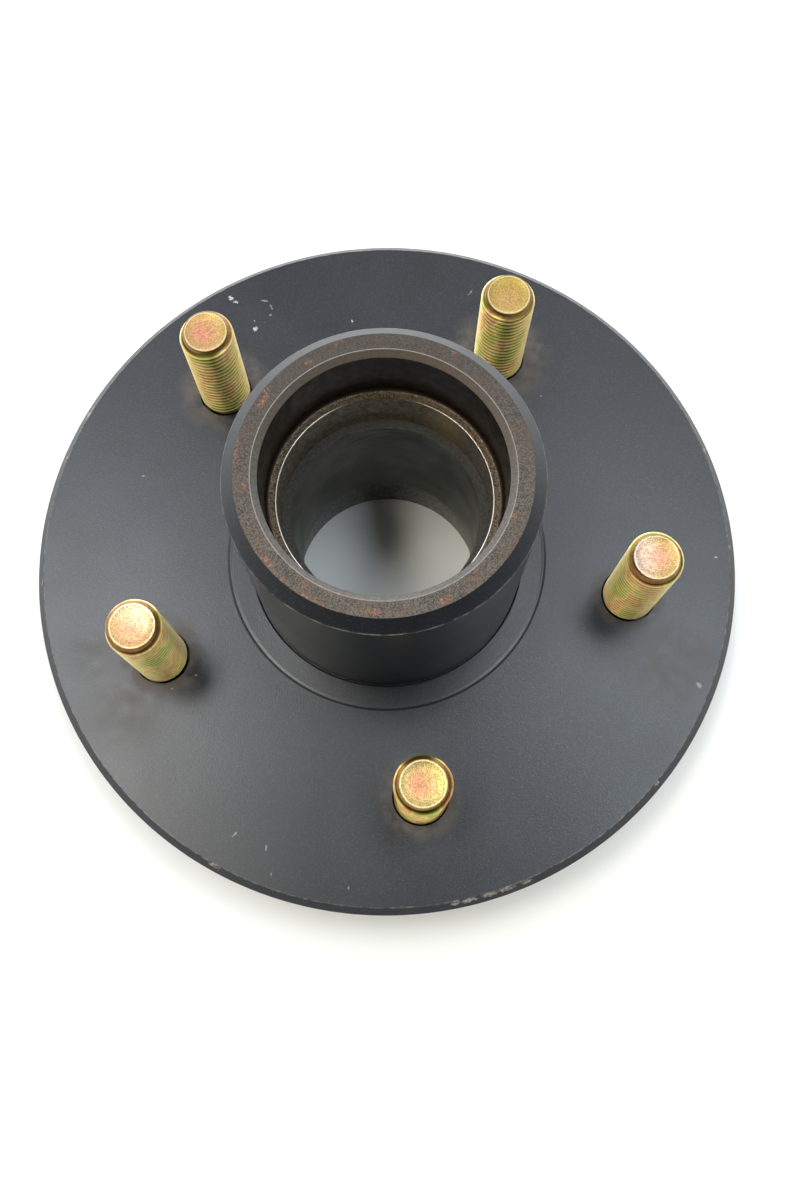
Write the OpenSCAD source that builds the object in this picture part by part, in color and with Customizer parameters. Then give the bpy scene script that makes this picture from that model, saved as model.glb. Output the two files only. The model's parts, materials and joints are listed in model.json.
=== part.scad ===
// Wheel hub for a light axle: one turned iron casting with a round wheel flange,
// a long nose barrel, a short rear barrel and a stepped bore right through it.
// Five wheel studs are pressed into the flange from behind.
// Millimetres. The axis is Z, the nose points up, and z = 0 is the rear end face.

/* [Wheel flange] */
// Outside diameter of the flange
flange_d = 164; // [152:1:190]
// Thickness of the flange
flange_t = 10; // [8:0.5:14]
// Chamfer on the front edge of the flange rim
rim_chamfer = 1.6; // [0.6:0.1:2.4]
// Chamfer on the back edge of the flange rim
back_chamfer = 1; // [0.5:0.1:2]
// Diameter of the fine ring groove turned in the wheel face
ring_groove_d = 73.6; // [70:0.2:84]
// Width of that ring groove
ring_groove_w = 0.9; // [0.6:0.1:1.6]
// Depth of that ring groove
ring_groove_depth = 0.35; // [0.2:0.05:0.8]

/* [Nose barrel] */
// Outside diameter of the nose barrel, which centres the wheel
barrel_d = 62.8; // [60:0.2:68]
// Height of the nose end face above the wheel face
nose_h = 52.4; // [46:0.2:60]
// Chamfer round the outside of the nose
nose_chamfer = 2.6; // [1:0.1:3]
// Radius of the round undercut that clears the corner at the root of the barrel
root_undercut_r = 0.45; // [0.2:0.05:0.8]

/* [Bores in the nose] */
// Diameter of the bore that the dust cap is tapped into
cap_bore_d = 48.4; // [46.4:0.1:51]
// Depth of the dust cap bore from the nose end face
cap_bore_depth = 15; // [8:0.5:20]
// Chamfer at the mouth of the dust cap bore
mouth_chamfer = 1.2; // [0.4:0.1:2]
// Diameter of the outer bearing seat
outer_seat_d = 44; // [42:0.1:45.6]
// Depth of the outer bearing seat below the cap bore
outer_seat_depth = 10.4; // [8:0.1:14]
// Small chamfer at the edge of each bearing seat
seat_chamfer = 0.3; // [0.2:0.1:0.6]
// Diameter of the grease bore between the two bearing seats
grease_bore_d = 39.8; // [36:0.2:41]

/* [Rear barrel] */
// Length of the rear barrel behind the flange
rear_h = 16; // [12:0.5:24]
// Outside diameter of the rear barrel at its end
rear_d = 61; // [57:0.5:70]
// Cast draft of the rear barrel, added to its radius at the flange
rear_draft = 0.8; // [0:0.1:1.6]
// Fillet where the rear barrel runs into the flange
root_fillet = 4; // [2:0.5:6]
// Chamfer round the outside of the rear end
rear_chamfer = 1.5; // [0.5:0.1:2.5]
// Diameter of the rear bore, which takes the inner bearing and its seal
inner_seat_d = 45.2; // [43:0.1:50]
// Depth of the rear bore from the rear end face
inner_seat_depth = 19.6; // [15:0.2:22]
// Chamfer at the mouth of the rear bore
rear_mouth_chamfer = 1; // [0.4:0.1:1.6]

/* [Wheel studs] */
// Diameter of the circle that the studs stand on
stud_circle_d = 114.3; // [108:0.1:120]
// Major diameter of the stud thread
thread_d = 12; // [10:0.5:12]
// Pitch of the stud thread
thread_pitch = 1.5; // [1:0.25:1.75]
// Height of the stud end above the wheel face
stud_h = 30; // [24:0.5:45]
// Diameter of the plain point at the stud end
point_d = 9.8; // [7:0.1:9.8]
// Length of that plain point
point_h = 0.5; // [0.3:0.1:2]
// Height of the lead-in cone between the point and the full thread
lead_in_h = 0.8; // [0.4:0.1:1.5]
// Width of the flat rim round the shallow cup in the stud end
cup_rim_w = 0.4; // [0.3:0.1:1.2]
// Width of the slope that runs down to the floor of the cup
cup_slope_w = 1.1; // [0.4:0.1:1.5]
// Depth of that cup
cup_depth = 0.35; // [0.2:0.05:0.6]
// How much smaller the radius of the plain neck in the flange is than the thread's
neck_drop = 0.5; // [0.3:0.05:0.9]
// Diameter of the stud holes in the flange
stud_hole_d = 12.7; // [12.5:0.1:14]
// Length of the knurl, measured from under the stud head
knurl_h = 7; // [5:0.5:7.5]
// Number of straight ribs in the knurl
knurl_ribs = 30; // [20:1:40]
// Depth of the valleys between the ribs
knurl_depth = 0.3; // [0.15:0.05:0.4]
// Clearance between the rib tips and the hole
knurl_clearance = 0; // [0:0.01:0.1]
// Diameter of the stud head
head_d = 19; // [16:0.5:22]
// Thickness of the stud head
head_t = 4.5; // [3:0.5:7]
// Chamfer round the back of the stud head
head_chamfer = 0.8; // [0.3:0.1:1.5]

/* [Hidden] */

// Smoothness of every turned face
$fn = 96;
// A cut runs this far past the face that it opens
past = 1;
// The five studs share the circle evenly, and the first stands at -Y
stud_count = 5;
first_stud_angle = -90;

// Heights along the axis, from the rear end face up
flange_back_z = rear_h;
wheel_face_z = flange_back_z + flange_t;
nose_z = wheel_face_z + nose_h;
cap_floor_z = nose_z - cap_bore_depth;
outer_seat_floor_z = cap_floor_z - outer_seat_depth;
inner_seat_top_z = inner_seat_depth;

// Rolled thread with 60 degree flanks, drawn as separate ring grooves in place of one helix
thread_depth = 0.6134 * thread_pitch;
crest_w = thread_pitch / 8;
flank_w = thread_depth * tan(30);
// At least this much plain shank is left between the thread and the wheel face
least_run_out = 0.5;
thread_top_h = stud_h - point_h - lead_in_h;
groove_count = floor((thread_top_h - least_run_out) / thread_pitch);

// Radii that more than one outline uses
flange_r = flange_d / 2;
barrel_r = barrel_d / 2;
rear_r = rear_d / 2;
rear_root_r = rear_r + rear_draft;
knurl_r = stud_hole_d / 2 - knurl_clearance;
thread_r = thread_d / 2;

// Outline of the flange, from the axis out to the rim
module flange_outline() {
    polygon([
        [0, flange_back_z],
        [flange_r - back_chamfer, flange_back_z],
        [flange_r, flange_back_z + back_chamfer],
        [flange_r, wheel_face_z - rim_chamfer],
        [flange_r - rim_chamfer, wheel_face_z],
        [0, wheel_face_z],
    ]);
}

// Outline of the nose barrel with its outside chamfer
module nose_outline() {
    polygon([
        [0, flange_back_z],
        [barrel_r, flange_back_z],
        [barrel_r, nose_z - nose_chamfer],
        [barrel_r - nose_chamfer, nose_z],
        [0, nose_z],
    ]);
}

// Outline of the rear barrel, with cast draft and its end chamfer
module rear_outline() {
    polygon([
        [0, 0],
        [rear_r - rear_chamfer, 0],
        [rear_r, rear_chamfer],
        [rear_root_r, flange_back_z],
        [0, flange_back_z],
    ]);
}

// Quarter-round fillet between the rear barrel and the back of the flange
module rear_fillet_outline() {
    difference() {
        translate([rear_root_r - past, flange_back_z - root_fillet])
            square([root_fillet + past, root_fillet + past]);
        translate([rear_root_r + root_fillet, flange_back_z - root_fillet])
            circle(r = root_fillet);
    }
}

// Round undercut in the corner at the root of the barrel, and the ring groove outside it
module face_grooves_outline() {
    translate([barrel_r, wheel_face_z])
        circle(r = root_undercut_r);
    translate([(ring_groove_d - ring_groove_w) / 2, wheel_face_z])
        polygon([
            [0, past],
            [0, 0],
            [ring_groove_w / 2, -ring_groove_depth],
            [ring_groove_w, 0],
            [ring_groove_w, past],
        ]);
}

// Everything that the boring bar takes out, from the nose to the rear end
module bore_outline() {
    cap_r = cap_bore_d / 2;
    outer_r = outer_seat_d / 2;
    grease_r = grease_bore_d / 2;
    inner_r = inner_seat_d / 2;
    polygon([
        [0, -past],
        [inner_r + rear_mouth_chamfer + past, -past],
        [inner_r, rear_mouth_chamfer],
        [inner_r, inner_seat_top_z],
        [grease_r + seat_chamfer, inner_seat_top_z],
        [grease_r, inner_seat_top_z + seat_chamfer],
        [grease_r, outer_seat_floor_z - seat_chamfer],
        [grease_r + seat_chamfer, outer_seat_floor_z],
        [outer_r, outer_seat_floor_z],
        [outer_r, cap_floor_z - seat_chamfer],
        [outer_r + seat_chamfer, cap_floor_z],
        [cap_r, cap_floor_z],
        [cap_r, nose_z - mouth_chamfer],
        [cap_r + mouth_chamfer + past, nose_z + past],
        [0, nose_z + past],
    ]);
}

// Puts its children at the place of one stud on the circle
module at_stud(i) {
    rotate([0, 0, first_stud_angle + 360 / stud_count * i])
        translate([stud_circle_d / 2, 0, 0])
            children();
}

// The hub body: one casting, turned all over the front and bored through
module hub() {
    color("#3d4247")
        difference() {
            rotate_extrude()
                difference() {
                    union() {
                        flange_outline();
                        nose_outline();
                        rear_outline();
                        rear_fillet_outline();
                    }
                    face_grooves_outline();
                    bore_outline();
                }
            for (i = [0 : stud_count - 1])
                at_stud(i)
                    translate([0, 0, flange_back_z - past])
                        cylinder(d = stud_hole_d, h = flange_t + 2 * past);
        }
}

// Straight knurl: valleys cut between ribs that bite into the stud hole
module knurl() {
    difference() {
        cylinder(r = knurl_r, h = knurl_h);
        for (k = [0 : knurl_ribs - 1])
            rotate([0, 0, 360 / knurl_ribs * k])
                translate([knurl_r, 0, -past])
                    linear_extrude(knurl_h + 2 * past)
                        polygon([
                            [-knurl_depth, 0],
                            [past, -knurl_depth - past],
                            [past, knurl_depth + past],
                        ]);
    }
}

// Outline of a stud without its thread grooves
module shank_outline() {
    point_r = point_d / 2;
    cup_r = point_r - cup_rim_w;
    neck_r = thread_r - neck_drop;
    end_z = flange_t + stud_h;
    polygon([
        [0, -head_t],
        [head_d / 2 - head_chamfer, -head_t],
        [head_d / 2, -head_t + head_chamfer],
        [head_d / 2, 0],
        [neck_r, 0],
        [neck_r, flange_t],
        [thread_r, flange_t],
        [thread_r, end_z - point_h - lead_in_h],
        [point_r, end_z - point_h],
        [point_r, end_z],
        [cup_r, end_z],
        [cup_r - cup_slope_w, end_z - cup_depth],
        [0, end_z - cup_depth],
    ]);
}

// Outline of every thread groove, one pitch apart from the lead-in cone down
module thread_grooves_outline() {
    root_r = thread_r - thread_depth;
    for (k = [1 : groove_count])
        translate([0, flange_t + thread_top_h - k * thread_pitch])
            polygon([
                [thread_r, crest_w / 2],
                [root_r, crest_w / 2 + flank_w],
                [root_r, thread_pitch - crest_w / 2 - flank_w],
                [thread_r, thread_pitch - crest_w / 2],
            ]);
}

// One wheel stud: head behind the flange, knurl and neck in it, thread and point in front
module stud(i) {
    color("#c9b264")
        at_stud(i)
            translate([0, 0, flange_back_z]) {
                rotate_extrude()
                    difference() {
                        shank_outline();
                        thread_grooves_outline();
                    }
                knurl();
            }
}

hub();
for (i = [0 : stud_count - 1])
    stud(i);
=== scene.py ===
# %% [markdown]
# # A wheel hub in black paint, with five yellow studs
# The hub lies on its back on a white table, and the nose with its open bore points up.
# It is one iron casting, turned on a lathe, with five plated studs pressed into its flange.
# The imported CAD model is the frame: it gives every size and place, and nothing in it moves.

import json
import math

import bpy
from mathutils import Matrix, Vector


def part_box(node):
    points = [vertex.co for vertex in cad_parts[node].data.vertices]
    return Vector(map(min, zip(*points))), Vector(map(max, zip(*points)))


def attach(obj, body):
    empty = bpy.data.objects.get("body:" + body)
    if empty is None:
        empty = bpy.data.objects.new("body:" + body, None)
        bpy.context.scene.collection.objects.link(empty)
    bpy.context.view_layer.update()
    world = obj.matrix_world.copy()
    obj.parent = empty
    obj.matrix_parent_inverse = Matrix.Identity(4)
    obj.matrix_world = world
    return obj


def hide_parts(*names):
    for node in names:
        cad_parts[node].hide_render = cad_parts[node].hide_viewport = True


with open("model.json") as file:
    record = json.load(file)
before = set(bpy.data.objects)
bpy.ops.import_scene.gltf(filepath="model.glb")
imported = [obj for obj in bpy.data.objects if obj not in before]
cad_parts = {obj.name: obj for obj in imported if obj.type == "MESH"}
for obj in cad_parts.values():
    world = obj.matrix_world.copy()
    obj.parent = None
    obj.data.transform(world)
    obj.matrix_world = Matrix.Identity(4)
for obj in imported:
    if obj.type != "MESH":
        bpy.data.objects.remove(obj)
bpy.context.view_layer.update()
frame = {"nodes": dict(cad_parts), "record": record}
print("nodes:", sorted(frame["nodes"]))

# %% [markdown]
# ## Sizes
# The frame holds the sizes that other parts depend on, as boxes and as mounts.
# What it doesn't hold, such as the chamfers, is a named size in millimetres here.

# %% Sizes that the frame gives, in millimetres
MM = 0.001
mount = {m["name"]: m for m in frame["record"]["mounts"]}
hub_low, hub_high = [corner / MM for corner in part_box("hub")]
stud_low, stud_high = [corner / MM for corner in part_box("stud_1")]
wheel_face = mount["wheel_studs"]["pos_m"][2] / MM
stud_circle = mount["wheel_studs"]["dims"]["pcd_mm"] / 2
thread_r = mount["wheel_studs"]["dims"]["stud_r_mm"]
barrel_r = mount["wheel_pilot"]["dims"]["r_mm"]
cap_r = mount["cap_bore"]["dims"]["r_mm"]
seat_r = mount["outer_bearing_seat"]["dims"]["r_mm"]
grease_r = mount["spindle_bore"]["dims"]["r_mm"]
rear_bore_r = mount["inner_bearing_seat"]["dims"]["r_mm"]
flange_r, nose = hub_high.x, hub_high.z
print(f"flange {2 * flange_r:.1f} mm across, nose {nose:.1f} mm high, wheel face at {wheel_face:.1f} mm")

# %% Sizes of the hub that the frame doesn't give, in millimetres
flange_back = wheel_face - 10
cap_floor = nose - 15
seat_floor = cap_floor - 10.4
rear_bore_top = 19.6
nose_chamfer, mouth_chamfer, seat_chamfer, rear_mouth = 2.6, 1.2, 0.3, 1.0
rim_chamfer, back_chamfer, undercut_r = 1.6, 1.0, 0.45
groove_r, groove_half, groove_depth = 36.8, 0.55, 0.11
seat_bevel, edge_width, ledge_fillet, edge_break = 0.06, 0.17, 1.0, 0.12
rear_r, rear_root_r, rear_fillet, rear_chamfer = 30.5, 31.3, 4.0, 1.5
hole_r = 6.35

# %% [markdown]
# ## Two small helpers
# A node tree is easier to read as a list of nodes, so one function adds a node with its settings and links.
# Colours are picked as sRGB hex values, as a colour picker shows them, and Blender works in linear light.

# %% Add a node, and turn a hex colour to linear
def linear(hex_colour):
    """sRGB hex such as '2b2f33' to linear RGBA."""
    parts = [int(hex_colour[i:i + 2], 16) / 255 for i in (0, 2, 4)]
    return [c / 12.92 if c <= 0.04045 else ((c + 0.055) / 1.055) ** 2.4 for c in parts] + [1.0]


def add(tree, kind, links=None, stops=(), **settings):
    """Adds one node. A link's value is a number, a hex colour, a node (its first output) or a socket."""
    node = tree.nodes.new(kind)
    for name, value in settings.items():
        setattr(node, name, value)
    for i, (place, colour) in enumerate(stops):
        stop = node.color_ramp.elements[i] if i < 2 else node.color_ramp.elements.new(place)
        stop.position = place
        stop.color = linear(colour)
    for key, value in (links or {}).items():
        if isinstance(key, int):
            socket = node.inputs[key]
        else:
            socket = next(s for s in node.inputs if s.name == key and s.enabled)
        if isinstance(value, bpy.types.Node):
            value = next(out for out in value.outputs if out.enabled)
        if isinstance(value, bpy.types.NodeSocket):
            tree.links.new(value, socket)
        else:
            socket.default_value = linear(value) if socket.type == "RGBA" else value
    return node


# %% [markdown]
# ## The camera
# The photograph looks down on the nose from a short way off, so near things are clearly larger than far ones.
# The place, the tilt and the focal length come from a fit to the circles and the stud ends in the photograph.

# %% Camera
CAMERA_PLACE = (-7.40, -77.56, 276.49)
CAMERA_TILT, CAMERA_TURN = 14.856, -7.708
FOCAL_PIXELS, IMAGE_HEIGHT, SENSOR = 1115.6, 1200, 36
eye = bpy.data.cameras.new("camera")
eye.sensor_width = SENSOR
eye.lens = FOCAL_PIXELS / IMAGE_HEIGHT * SENSOR
eye.clip_start = 0.01
camera = bpy.data.objects.new("camera", eye)
camera.location = Vector(CAMERA_PLACE) * MM
camera.rotation_euler = (math.radians(CAMERA_TILT), 0, math.radians(CAMERA_TURN))
bpy.context.collection.objects.link(camera)
bpy.context.scene.camera = camera
print(f"camera lens {eye.lens:.1f} mm, {CAMERA_PLACE[2]:.0f} mm above the table")

# %% [markdown]
# ## Light and table
# The table is white card, bright enough to lose itself in white, with only soft shadows on it.
# All light comes from the room, as on a bench with lamps on both sides.
# Satin paint mirrors that room softly, so what hangs where matters more than how strong it is.
# The room is drawn on a flat ceiling one unit up: `across` and `ahead` are places on that ceiling.
# Two banks of lamps hang there, the left one warm and twice as bright, the right one cool.
# The photographer stands at the near side: a dark wedge between the banks, wide near and narrow overhead,
# which leaves the middle of the flange and of the bore's floor dark. The far wall is bright low down.
# Past the banks the ceiling is bare and dim, and only the flanks of the stud threads mirror it.

# %% Table
TABLE_HALF = 2.5
table_mesh = bpy.data.meshes.new("table")
corners = [(x * TABLE_HALF, y * TABLE_HALF, 0) for x, y in ((-1, -1), (1, -1), (1, 1), (-1, 1))]
table_mesh.from_pydata(corners, [], [(0, 1, 2, 3)])
table = bpy.data.objects.new("table", table_mesh)
bpy.context.collection.objects.link(table)
white_card = bpy.data.materials.new("white card")
white_card.use_nodes = True
card_shader = white_card.node_tree.nodes["Principled BSDF"]
card_shader.inputs["Base Color"].default_value = linear("f3f3f1")
card_shader.inputs["Roughness"].default_value = 0.75
table_mesh.materials.append(white_card)

# %% The room as a ceiling of light
# Brightness in red, green and blue
LEFT_NEAR, LEFT_FAR, RIGHT_BANK = (38.4, 36.8, 32.0), (36.5, 39.2, 44.2), (17.9, 19.7, 21.4)
FAR_WALL, LEFT_WALL, RIGHT_WALL = (5.9, 6.2, 7.1), (0.6, 0.56, 0.5), (0.3, 0.34, 0.4)
BARE_CEILING = (0.44, 0.4, 0.31)
WEDGE_NEAR, WEDGE_FAR, WEDGE_SHIFT = 0.29, 0.06, 0.022
room = bpy.data.worlds.new("room")
room.use_nodes = True
sky = room.node_tree
towards = add(sky, "ShaderNodeSeparateXYZ", {0: add(sky, "ShaderNodeTexCoord").outputs["Generated"]}).outputs
up = add(sky, "ShaderNodeMath", {0: towards["Z"], 1: 0.05}, operation="MAXIMUM")
across = add(sky, "ShaderNodeMath", {0: towards["X"], 1: up}, operation="DIVIDE")
ahead = add(sky, "ShaderNodeMath", {0: towards["Y"], 1: up}, operation="DIVIDE")


def fade(value, start, end, low, high):
    """A soft step from `low` at `start` to `high` at `end`."""
    return add(sky, "ShaderNodeMapRange", {
        "Value": value, "From Min": start, "From Max": end, "To Min": low, "To Max": high},
        interpolation_type="SMOOTHSTEP")


# The dark wedge between the banks: wide at the near side, narrow past the point overhead
wedge = fade(ahead, -0.03, 0.225, WEDGE_NEAR, WEDGE_FAR)
outward = add(sky, "ShaderNodeMath", {0: across}, operation="ABSOLUTE")
aside = add(sky, "ShaderNodeMath", {0: across, 1: WEDGE_SHIFT}, operation="ADD")
aside = add(sky, "ShaderNodeMath", {0: aside}, operation="ABSOLUTE")
aside = add(sky, "ShaderNodeMath", {0: aside, 1: wedge}, operation="SUBTRACT")
beside = fade(aside, -0.005, 0.075, 0.002, 1)

# The banks end softly at their outer, near and far edges
bank = 1.0
for soft_edge in (beside, fade(outward, 0.345, 0.51, 1, 0), fade(ahead, -0.42, -0.3, 0, 1),
                  fade(ahead, -0.44, 0.625, 1, 0)):
    bank = add(sky, "ShaderNodeMath", {0: soft_edge, 1: bank}, operation="MULTIPLY")

# The walls are brightest low down, far ahead and a little at the left
level = add(sky, "ShaderNodeCombineXYZ", {"X": towards["X"], "Y": towards["Y"]})
level = add(sky, "ShaderNodeVectorMath", {0: level}, operation="NORMALIZE")
level = add(sky, "ShaderNodeSeparateXYZ", {0: level}).outputs
wall_height = fade(towards["Z"], -0.134, 1.006, 1, 0)
light = add(sky, "ShaderNodeMix", {"Factor": fade(ahead, 0.05, 0.35, 0, 1), "A": LEFT_NEAR, "B": LEFT_FAR},
            data_type="VECTOR")
light = add(sky, "ShaderNodeMix", {"Factor": fade(across, -0.1, 0.1, 0, 1), "A": light, "B": RIGHT_BANK},
            data_type="VECTOR")
light = add(sky, "ShaderNodeVectorMath", {0: light, "Scale": bank}, operation="SCALE")

# Past the banks the bare ceiling is dim and warm, down to half height
bare = add(sky, "ShaderNodeMath", {0: beside, 1: fade(towards["Z"], 0.3, 0.5, 0, 1)}, operation="MULTIPLY")
bare = add(sky, "ShaderNodeVectorMath", {0: BARE_CEILING, "Scale": bare}, operation="SCALE")
light = add(sky, "ShaderNodeVectorMath", {0: light, 1: bare}, operation="ADD")
for side, sign, colour in (("Y", 1, FAR_WALL), ("X", -1, LEFT_WALL), ("X", 1, RIGHT_WALL)):
    facing = add(sky, "ShaderNodeMath", {0: level[side], 1: sign}, operation="MULTIPLY", use_clamp=True)
    facing = add(sky, "ShaderNodeMath", {0: facing, 1: 2}, operation="POWER")
    facing = add(sky, "ShaderNodeMath", {0: facing, 1: wall_height}, operation="MULTIPLY")
    wall = add(sky, "ShaderNodeVectorMath", {0: colour, "Scale": facing}, operation="SCALE")
    light = add(sky, "ShaderNodeVectorMath", {0: light, 1: wall}, operation="ADD")
sky.links.new(light.outputs[0], sky.nodes["Background"].inputs["Color"])
bpy.context.scene.world = room
bpy.context.scene.view_settings.view_transform = "Standard"
print("room:", len(sky.nodes), "nodes")

# %% [markdown]
# ## Finishes
# Every pattern is procedural and lies in the object's own coordinates, so a size in it is a real size.
# Marks such as chips and rust are placed one by one, in millimetres on the hub, where the photograph shows
# them.
# No roughness goes below 0.28. Under that, the denoiser takes a surface for a mirror, looks for detail
# in what it reflects and no longer on it, and smears the threads and the fine grain.

# %% What the finishes share: a start, a grain, and the place on the lathe
def new_finish(name):
    """A material with its node tree and its shader."""
    material = bpy.data.materials.new(name)
    material.use_nodes = True
    return material, material.node_tree, material.node_tree.nodes["Principled BSDF"]


def dress(tree, shader, looks):
    """Links patterns to the shader's own sockets."""
    for name, pattern in looks.items():
        tree.links.new(next(out for out in pattern.outputs if out.enabled), shader.inputs[name])


def grain(tree, size, low=0.35, high=0.65, detail=3.0, stretch=(1, 1, 1), shift=0.0):
    """Noise with features of `size` mm, spread over 0 to 1 between two of its levels."""
    where = add(tree, "ShaderNodeTexCoord").outputs["Object"]
    where = add(tree, "ShaderNodeMapping", {"Vector": where, "Location": (shift, shift, 0), "Scale": stretch})
    noise = add(tree, "ShaderNodeTexNoise", {"Vector": where, "Scale": 1 / (size * MM), "Detail": detail})
    return add(tree, "ShaderNodeMapRange", {"Value": noise, "From Min": low, "From Max": high})


def turned_place(tree, centre=(0, 0)):
    """Radius, angle and height of the shaded point about an upright axis, in metres and radians."""
    where = add(tree, "ShaderNodeTexCoord").outputs["Object"]
    where = add(tree, "ShaderNodeMapping", {
        "Vector": where, "Location": (-centre[0] * MM, -centre[1] * MM, 0)})
    spot = add(tree, "ShaderNodeSeparateXYZ", {0: where}).outputs
    flat = add(tree, "ShaderNodeCombineXYZ", {"X": spot["X"], "Y": spot["Y"]})
    radius = add(tree, "ShaderNodeVectorMath", {0: flat}, operation="LENGTH").outputs["Value"]
    angle = add(tree, "ShaderNodeMath", {0: spot["Y"], 1: spot["X"]}, operation="ARCTAN2")
    return radius, angle, spot["Z"]


def near(tree, value, middle, width):
    """1 where a length is at `middle` mm, falling to 0 at `width` mm from it."""
    gap = add(tree, "ShaderNodeMath", {0: value, 1: middle * MM}, operation="SUBTRACT")
    gap = add(tree, "ShaderNodeMath", {0: gap}, operation="ABSOLUTE")
    return add(tree, "ShaderNodeMapRange", {
        "Value": gap, "From Min": 0, "From Max": width * MM, "To Min": 1, "To Max": 0})


def lean_to(tree, angle, degrees):
    """Cosine of the way round from one direction: 1 there, and -1 on the other side."""
    lean = add(tree, "ShaderNodeMath", {0: angle, 1: math.radians(degrees)}, operation="SUBTRACT")
    return add(tree, "ShaderNodeMath", {0: lean}, operation="COSINE")


def spots(tree, places, height, ragged, crumb=0.7):
    """One mask of ragged spots. A place is x, y, length and width in mm, and an angle in degrees."""
    where = add(tree, "ShaderNodeTexCoord").outputs["Object"]
    noise = add(tree, "ShaderNodeTexNoise", {"Vector": where, "Scale": 1 / (crumb * MM), "Detail": 2.0})
    noise = add(tree, "ShaderNodeVectorMath", {
        0: noise.outputs["Color"], 1: (0.5, 0.5, 0.5)}, operation="SUBTRACT")
    noise = add(tree, "ShaderNodeVectorMath", {0: noise, "Scale": ragged * MM}, operation="SCALE")
    where = add(tree, "ShaderNodeVectorMath", {0: where, 1: noise}, operation="ADD")
    mask = 0.0
    for x, y, length, width, angle in places:
        local = add(tree, "ShaderNodeMapping", {
            "Vector": where, "Location": (x * MM, y * MM, height * MM),
            "Rotation": (0, 0, math.radians(angle)),
            "Scale": (length / 2 * MM, width / 2 * MM, 2 * MM)}, vector_type="TEXTURE")
        far = add(tree, "ShaderNodeVectorMath", {0: local}, operation="LENGTH").outputs["Value"]
        spot = add(tree, "ShaderNodeMapRange", {
            "Value": far, "From Min": 0.75, "From Max": 1.1, "To Min": 1, "To Max": 0})
        mask = add(tree, "ShaderNodeMath", {0: spot, 1: mask}, operation="MAXIMUM")
    return mask


def on_circle(radius, degrees, length, width, turn=90):
    """A spot on a circle about the hub's axis, by default stretched along the circle."""
    angle = math.radians(degrees)
    return radius * math.cos(angle), radius * math.sin(angle), length, width, degrees + turn


# %% [markdown]
# ### Satin black paint
# The paint was sprayed thin on a turned face. The eye reads it by its orange peel of half a millimetre,
# slow changes of gloss, fine pale overspray, and brown dust round the studs and in smudges low on the flange.
# White specks and faint scratches sit on the wheel face, and the rim is chipped to bare iron.

# %% Satin black paint
WHITE_SPECKS = [
    (-29.9, 71.4, 1.6, 1.0, 130), (-28.8, 70.2, 1.1, 0.8, 0), (-24.8, 62.1, 1.2, 1.0, 20),
    (-0.7, 61.0, 0.5, 0.4, 0), (76.4, -11.3, 0.6, 0.6, 0)]
FAINT_MARKS = [
    (-47.0, -23.0, 0.6, 0.5, 0), (-52.7, -25.5, 0.5, 0.5, 0), (-24.7, 64.4, 0.5, 0.5, 0),
    (-20.7, 65.4, 0.8, 0.6, 0), (-21.6, 69.5, 2.0, 0.4, 160), (-20.2, 67.6, 1.8, 0.3, 110),
    (-55.3, 27.0, 0.6, 0.5, 0), (42.6, 34.7, 0.5, 0.5, 0), (-34.6, -69.2, 0.9, 0.25, 80),
    (-18.3, -74.4, 0.5, 0.3, 70), (29.6, 64.8, 2.2, 0.25, 45), (-41.8, -59.8, 1.8, 0.35, 40),
    (-35.1, -63.5, 1.4, 0.3, 80), (66.3, -40.7, 1.7, 1.0, 110)]
RIM_CHIPS = [on_circle(80.8, angle, length, 0.8) for angle, length in (
    (11.1, 1.4), (-6.6, 1.2), (-49.3, 1.6), (-125.4, 3.4), (177.4, 1.2), (146, 4.0), (155, 2.4),
    (87.2, 1.2), (78.3, 1.0), (75.9, 0.8), (-87.0, 2.2), (-84.6, 4.2), (-81.4, 3.6), (-78.6, 4.0),
    (-75.4, 2.8))]
# Dust round a stud: its angle on the circle, reach in mm, strength. A smudge: x, y, start, reach, strength
DUST = [(-90, 10.5, 0.8), (-18, 9.5, 0.45), (54, 15.0, 1.0), (126, 13.0, 1.0), (198, 11.5, 0.8)]
SMUDGES = [(-62, -27, 0, 15, 0.3), (-69, -15, 0, 11, 0.25), (60, -36, 0, 14, 0.3), (67, -34, 0, 8, 0.3)]

satin_paint, tree, shader = new_finish("satin black paint on turned iron")
radius, angle, height = turned_place(tree)
shade = add(tree, "ShaderNodeMix", {
    "Factor": grain(tree, 24), "A": "0f1218", "B": "14181f"}, data_type="RGBA")
rough = add(tree, "ShaderNodeMapRange", {
    "Value": grain(tree, 17, shift=0.3), "To Min": 0.285, "To Max": 0.315})

# Fine pale overspray
spray = grain(tree, 0.35, 0.54, 0.7, 1.0, shift=0.4)
spray = add(tree, "ShaderNodeMath", {0: spray, 1: 0.4}, operation="MULTIPLY")
shade = add(tree, "ShaderNodeMix", {"Factor": spray, "A": shade, "B": "3a3e44"}, data_type="RGBA")

# Brown dust round each stud, and brown smudges low on the flange at both sides, duller than the paint
dust = 0.0
halos = [on_circle(stud_circle, angle, 6.5, reach)[:4] + (strength,) for angle, reach, strength in DUST]
for x, y, start, reach, strength in halos + SMUDGES:
    away, _, _ = turned_place(tree, (x, y))
    ring = add(tree, "ShaderNodeMapRange", {
        "Value": away, "From Min": start * MM, "From Max": reach * MM, "To Min": strength, "To Max": 0},
        interpolation_type="SMOOTHSTEP")
    dust = add(tree, "ShaderNodeMath", {0: ring, 1: dust}, operation="MAXIMUM")
dust = add(tree, "ShaderNodeMath", {0: dust, 1: grain(tree, 3.0, 0.3, 0.6)}, operation="MULTIPLY")
shade = add(tree, "ShaderNodeMix", {"Factor": dust, "A": shade, "B": "54483a"}, data_type="RGBA")
dull = add(tree, "ShaderNodeMath", {0: dust, 1: 0.3}, operation="MULTIPLY")
rough = add(tree, "ShaderNodeMath", {0: rough, 1: dull}, operation="ADD")

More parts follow.
